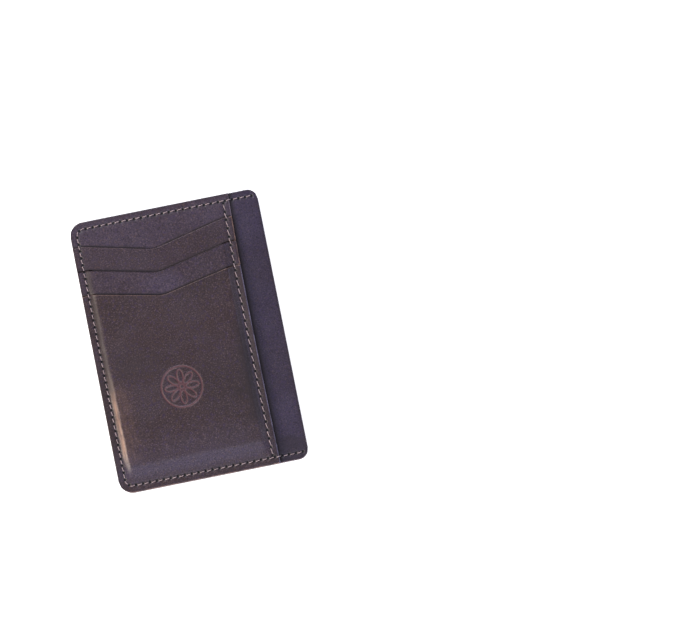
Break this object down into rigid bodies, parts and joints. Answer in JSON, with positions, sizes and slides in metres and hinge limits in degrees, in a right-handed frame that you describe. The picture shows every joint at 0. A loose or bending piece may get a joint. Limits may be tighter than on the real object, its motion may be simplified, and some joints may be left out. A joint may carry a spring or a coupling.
{
  "type": "minimalist wallet",
  "caption": "Slim leather card wallet with stepped V-mouthed card slots sewn on both faces and a centre pocket that opens along one long edge.",
  "frame": {"origin": "centre of the lowest face's bounding box, on the surface that the wallet's back pocket rests on", "axes": "+X towards the open edge of the centre pocket, +Y towards the card slots' mouths, +Z out of the front face"},
  "size_m": [0.075, 0.1078, 0.0089],
  "materials": {
    "outer_leather": "smooth pull-up leather, waxed, dark purplish brown",
    "inner_leather": "smooth pull-up leather, dark purplish brown",
    "needle_thread": "twisted waxed thread, grey-tan",
    "bobbin_thread": "twisted waxed thread, reddish brown"
  },
  "bodies": {
    "wallet": {"front_inner_panel": "inner_leather", "front_backing": "outer_leather", "front_slot_1": "outer_leather", "front_slot_2": "outer_leather", "front_pocket": "outer_leather", "back_inner_panel": "inner_leather", "back_backing": "outer_leather", "back_slot_1": "outer_leather", "back_slot_2": "outer_leather", "back_pocket": "outer_leather", "perimeter_needle_thread": "needle_thread", "perimeter_bobbin_thread": "bobbin_thread", "front_edge_needle_thread": "needle_thread", "front_edge_bobbin_thread": "bobbin_thread", "front_slot_1_needle_thread": "needle_thread", "front_slot_1_bobbin_thread": "bobbin_thread", "front_slot_2_needle_thread": "needle_thread", "front_slot_2_bobbin_thread": "bobbin_thread", "back_edge_needle_thread": "needle_thread", "back_edge_bobbin_thread": "bobbin_thread", "back_slot_1_needle_thread": "needle_thread", "back_slot_1_bobbin_thread": "bobbin_thread", "back_slot_2_needle_thread": "needle_thread", "back_slot_2_bobbin_thread": "bobbin_thread"},
    "front_mouth_flap": {"front_mouth_lip": "inner_leather"},
    "front_slot_1_flap": {"front_slot_1_lip": "outer_leather"},
    "front_slot_2_flap": {"front_slot_2_lip": "outer_leather"},
    "front_pocket_flap": {"front_pocket_lip": "outer_leather"},
    "back_mouth_flap": {"back_mouth_lip": "inner_leather"},
    "back_slot_1_flap": {"back_slot_1_lip": "outer_leather"},
    "back_slot_2_flap": {"back_slot_2_lip": "outer_leather"},
    "back_pocket_flap": {"back_pocket_lip": "outer_leather"}
  },
  "joints": [
    {"name": "front_mouth_open", "type": "hinge", "parent": "wallet", "child": "front_mouth_flap", "pos_m": [0.0262, 0, 0.0056], "axis": [0, -1, 0], "range_deg": [0, 25], "stiffness_Nm_per_rad": 0.05},
    {"name": "front_slot_1_open", "type": "hinge", "parent": "wallet", "child": "front_slot_1_flap", "pos_m": [-0.0063, 0.03368, 0.0072], "axis": [1, 0, 0], "range_deg": [0, 15], "stiffness_Nm_per_rad": 0.012},
    {"name": "front_slot_2_open", "type": "hinge", "parent": "wallet", "child": "front_slot_2_flap", "pos_m": [-0.0063, 0.02413, 0.0079], "axis": [1, 0, 0], "range_deg": [0, 15], "stiffness_Nm_per_rad": 0.012},
    {"name": "front_pocket_open", "type": "hinge", "parent": "wallet", "child": "front_pocket_flap", "pos_m": [-0.0063, 0.0106, 0.0089], "axis": [1, 0, 0], "range_deg": [0, 10], "stiffness_Nm_per_rad": 0.02},
    {"name": "back_mouth_open", "type": "hinge", "parent": "wallet", "child": "back_mouth_flap", "pos_m": [0.0262, 0, 0.0033], "axis": [0, 1, 0], "range_deg": [0, 25], "stiffness_Nm_per_rad": 0.05},
    {"name": "back_slot_1_open", "type": "hinge", "parent": "wallet", "child": "back_slot_1_flap", "pos_m": [-0.0063, 0.03368, 0.0017], "axis": [-1, 0, 0], "range_deg": [0, 15], "stiffness_Nm_per_rad": 0.012},
    {"name": "back_slot_2_open", "type": "hinge", "parent": "wallet", "child": "back_slot_2_flap", "pos_m": [-0.0063, 0.02413, 0.001], "axis": [-1, 0, 0], "range_deg": [0, 15], "stiffness_Nm_per_rad": 0.012},
    {"name": "back_pocket_open", "type": "hinge", "parent": "wallet", "child": "back_pocket_flap", "pos_m": [-0.0063, 0.0106, 0], "axis": [-1, 0, 0], "range_deg": [0, 10], "stiffness_Nm_per_rad": 0.02}
  ]
}
